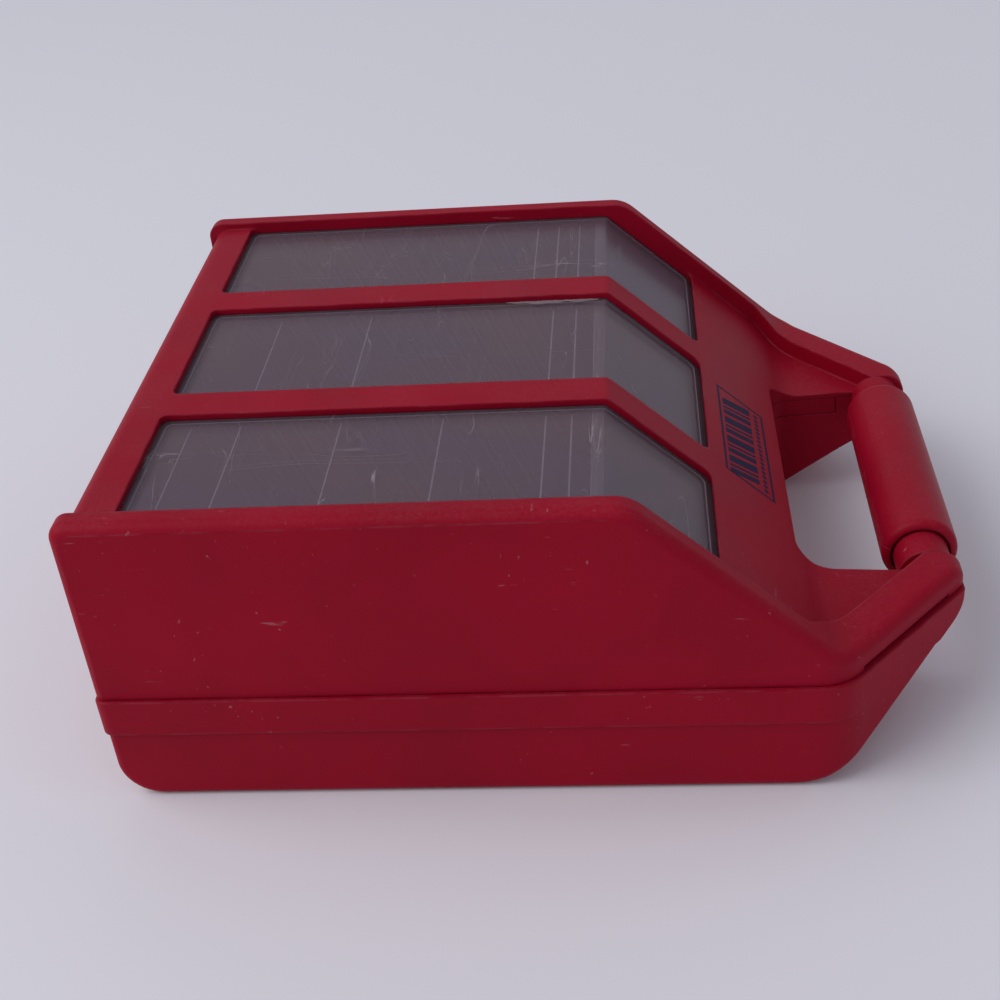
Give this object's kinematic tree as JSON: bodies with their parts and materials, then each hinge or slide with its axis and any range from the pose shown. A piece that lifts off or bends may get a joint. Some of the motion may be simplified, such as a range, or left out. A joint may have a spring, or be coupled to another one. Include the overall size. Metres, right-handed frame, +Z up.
{
  "type": "card storage case",
  "caption": "Flat-backed plastic carry case with a hinged, windowed cover, slotted card trays with leaning dividers, and a turning carry grip.",
  "frame": {"origin": "centre of the bounding box's footprint, on the flat back that the case lies on", "axes": "+X from the hinge end to the carry grip, +Y to the far side of the case, +Z up through the windows"},
  "size_m": [0.3128, 0.253, 0.1194],
  "materials": {
    "shell_red": "satin moulded",
    "grip_red": "satin moulded",
    "latch_red": "satin moulded",
    "window_clear": "clear, scratched",
    "tray_clear": "clear",
    "divider_clear": "clear",
    "steel": "plain"
  },
  "bodies": {
    "base": {"back_shell": "shell_red", "hinge_pin": "steel", "handle_bar": "shell_red", "bar_screws": "steel", "card_tray_near": "tray_clear", "divider_near_1": "divider_clear", "divider_near_2": "divider_clear", "divider_near_3": "divider_clear", "divider_near_4": "divider_clear", "divider_near_5": "divider_clear", "divider_near_6": "divider_clear", "card_tray_middle": "tray_clear", "divider_middle_1": "divider_clear", "divider_middle_2": "divider_clear", "divider_middle_3": "divider_clear", "divider_middle_4": "divider_clear", "card_tray_far": "tray_clear", "divider_far_1": "divider_clear", "divider_far_2": "divider_clear", "divider_far_3": "divider_clear"},
    "cover": {"front_cover": "shell_red", "latch_pin": "steel", "window_pane_near": "window_clear", "window_pane_middle": "window_clear", "window_pane_far": "window_clear"},
    "latch": {"latch_lever": "latch_red"},
    "grip": {"grip_upper_half": "grip_red", "grip_lower_half": "grip_red"}
  },
  "joints": [
    {"name": "cover_hinge", "type": "hinge", "parent": "base", "child": "cover", "pos_m": [-0.15368, 0, 0.046], "axis": [0, -1, 0], "range_deg": [0, 120]},
    {"name": "latch_pivot", "type": "hinge", "parent": "cover", "child": "latch", "pos_m": [0.09342, 0, 0.0495], "axis": [0, -1, 0], "range_deg": [0, 40]},
    {"name": "grip_spin", "type": "hinge", "parent": "base", "child": "grip", "pos_m": [0.14242, 0, 0.046], "axis": [0, 1, 0], "continuous": true}
  ]
}
